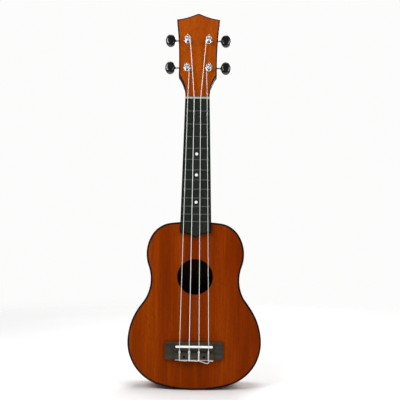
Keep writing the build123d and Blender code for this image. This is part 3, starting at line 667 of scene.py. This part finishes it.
def coil(name, base, angle, reach, radius, side):
    """The turns above the string's first one, and the end through the post's hole."""
    centre, outward, across, up = post_frame(name)
    rise = 2 * radius + WRAP_GAP
    full = 2 * math.pi
    # One turn and what is left to the hole's upper end.
    span = full + ((angle - math.pi / 2) * side) % full
    count = int(span / full * COIL_POINTS)
    points = []
    for k in range(count + 1):
        share = k / count
        spot = base + outward * (rise * 1.1 + rise * (span / full) * share)
        points.append(round_post(spot, across, up, angle - side * span * share, reach))
    tip = max((v.co - centre).dot(outward) for v in frame["nodes"][f"post_{name}"].data.vertices)
    hole = centre + outward * (tip - HOLE_BELOW_TIP)
    points.append(hole + up * reach * 0.85)
    points.append(hole)
    points.append(hole - up * reach * 0.9)
    points.append(hole - up * reach * 1.35 + outward * 0.6 * MM - across * side * 0.5 * MM)
    piece = tube(f"wound_string_{name}", points, radius, steps=3)
    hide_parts(f"string_coil_{name}")
    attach(piece, f"post_{name}")


for string in STRINGS:
    coil(string, *sounding_string(string))


# ---- Floor, light and camera ----
FLOOR_RADIUS = 1.4
FLOOR_FADE = (0.45, 1.3)  # it turns from solid to clear between these distances
# Y of the direction, -1 in front to 1 behind, and the world's strength as a light.
WORLD_STRENGTH = {"From Min": -0.7, "From Max": 0.5, "To Min": 0.10, "To Max": 0.45}
LENS = 64.2
DISTANCE = 0.996
EYE_HEIGHT = 0.422  # the shoulders' height, as a share of the instrument's
PICTURE_HEIGHT = 0.498  # the picture's middle, as a share of the same
EYE_X = 6.0 * MM
LEAN = math.radians(0.78)


def floor():
    """A plain pale floor under the tail, which fades into the background."""
    shader = Shader("pale_floor")
    cloudy = shader.noise((0.4, 0.4, 0.4), 3.0, 0.5)
    shader.finish(
        Base_Color=shader.mix(cloudy, (0.84, 0.84, 0.83), (0.88, 0.88, 0.87)),
        Roughness=0.7,
        Specular_IOR_Level=0.2,
    )
    far = shader.node("VectorMath", shader.place, operation="LENGTH").outputs["Value"]
    ease = "SMOOTHSTEP"
    gone = shader.node("MapRange", far, *FLOOR_FADE, 0.0, 1.0, interpolation_type=ease).outputs[0]
    clear = shader.node("BsdfTransparent").outputs[0]
    fade = shader.node("MixShader", gone, shader.surface.outputs[0], clear).outputs[0]
    shader.feed(shader.tree.nodes["Material Output"].inputs["Surface"], fade)
    rings, spokes = 6, 64
    vertices = [(0.0, 0.0, cad_low.z)]
    faces = []
    for ring in range(1, rings + 1):
        reach = FLOOR_RADIUS * (ring / rings) ** 2
        for spoke in range(spokes):
            angle = 2 * math.pi * spoke / spokes
            vertices.append((reach * math.cos(angle), reach * math.sin(angle), cad_low.z))
    for spoke in range(spokes):
        faces.append((0, 1 + spoke, 1 + (spoke + 1) % spokes))
        for ring in range(rings - 1):
            a = 1 + ring * spokes + spoke
            b = 1 + ring * spokes + (spoke + 1) % spokes
            faces.append((a, a + spokes, b + spokes, b))
    mesh = bpy.data.meshes.new("floor")
    mesh.from_pydata(vertices, [], faces)
    mesh.materials.append(shader.material)
    piece = bpy.data.objects.new("floor", mesh)
    scene.collection.objects.link(piece)


def soft_light(name, place, target, size, power):
    """A round white light that looks at the target."""
    data = bpy.data.lights.new(name, "AREA")
    data.shape = "DISK"
    data.size = size
    data.energy = power
    lamp = bpy.data.objects.new(name, data)
    lamp.location = place
    lamp.rotation_mode = "QUATERNION"
    lamp.rotation_quaternion = (Vector(target) - Vector(place)).to_track_quat("-Z", "Y")
    scene.collection.objects.link(lamp)


def pale_world():
    """Pale to the camera, and dimmer as a light, so that gloss keeps its depth. As a light it
    is dimmest in front and gets stronger towards the back."""
    world = bpy.data.worlds.new("studio")
    world.use_nodes = True
    nodes, links = world.node_tree.nodes, world.node_tree.links
    seen = nodes["Background"]
    seen.inputs["Color"].default_value = (0.97, 0.975, 0.965, 1.0)
    seen.inputs["Strength"].default_value = 1.0
    lit = nodes.new("ShaderNodeBackground")
    lit.inputs["Color"].default_value = (0.97, 0.98, 1.0, 1.0)
    facing = nodes.new("ShaderNodeSeparateXYZ")
    links.new(nodes.new("ShaderNodeTexCoord").outputs["Generated"], facing.inputs[0])
    strength = nodes.new("ShaderNodeMapRange")
    for key, value in WORLD_STRENGTH.items():
        strength.inputs[key].default_value = value
    links.new(facing.outputs[1], strength.inputs[0])
    links.new(strength.outputs[0], lit.inputs["Strength"])
    path = nodes.new("ShaderNodeLightPath")
    mix = nodes.new("ShaderNodeMixShader")
    links.new(path.outputs["Is Camera Ray"], mix.inputs[0])
    links.new(lit.outputs[0], mix.inputs[1])
    links.new(seen.outputs[0], mix.inputs[2])
    links.new(mix.outputs[0], nodes["World Output"].inputs["Surface"])
    scene.world = world


def camera():
    """In front, level with the body's shoulders and looking straight on, leaning a little;
    the picture is shifted up to take in the whole instrument."""
    data = bpy.data.cameras.new("camera")
    data.sensor_width = 36.0
    data.lens = LENS
    height = cad_high.z - cad_low.z
    rise = (PICTURE_HEIGHT - EYE_HEIGHT) * height
    data.shift_y = rise / DISTANCE * data.lens / data.sensor_width
    eye = bpy.data.objects.new("camera", data)
    place = Matrix.Translation((EYE_X, FACE_Y - DISTANCE, cad_low.z + EYE_HEIGHT * height))
    lean = Matrix.Rotation(LEAN, 4, "Z")
    eye.matrix_world = place @ Matrix.Rotation(math.radians(90), 4, "X") @ lean
    scene.collection.objects.link(eye)
    scene.camera = eye


floor()
pale_world()
middle = (cad_low + cad_high) / 2
# Name, place in metres, target, diameter in metres and power in watts.
soft_light("left_soft", (-0.75, -1.0, 1.15), middle, 0.8, 15.5)
soft_light("right_soft", (0.85, -1.0, 1.0), middle, 0.8, 9.5)
soft_light("top_soft", (0.0, 0.15, 1.6), middle, 0.9, 12)
soft_light("rear_soft", (0.5, 1.3, 0.9), middle, 0.8, 9)
camera()
scene.view_settings.view_transform = "Standard"
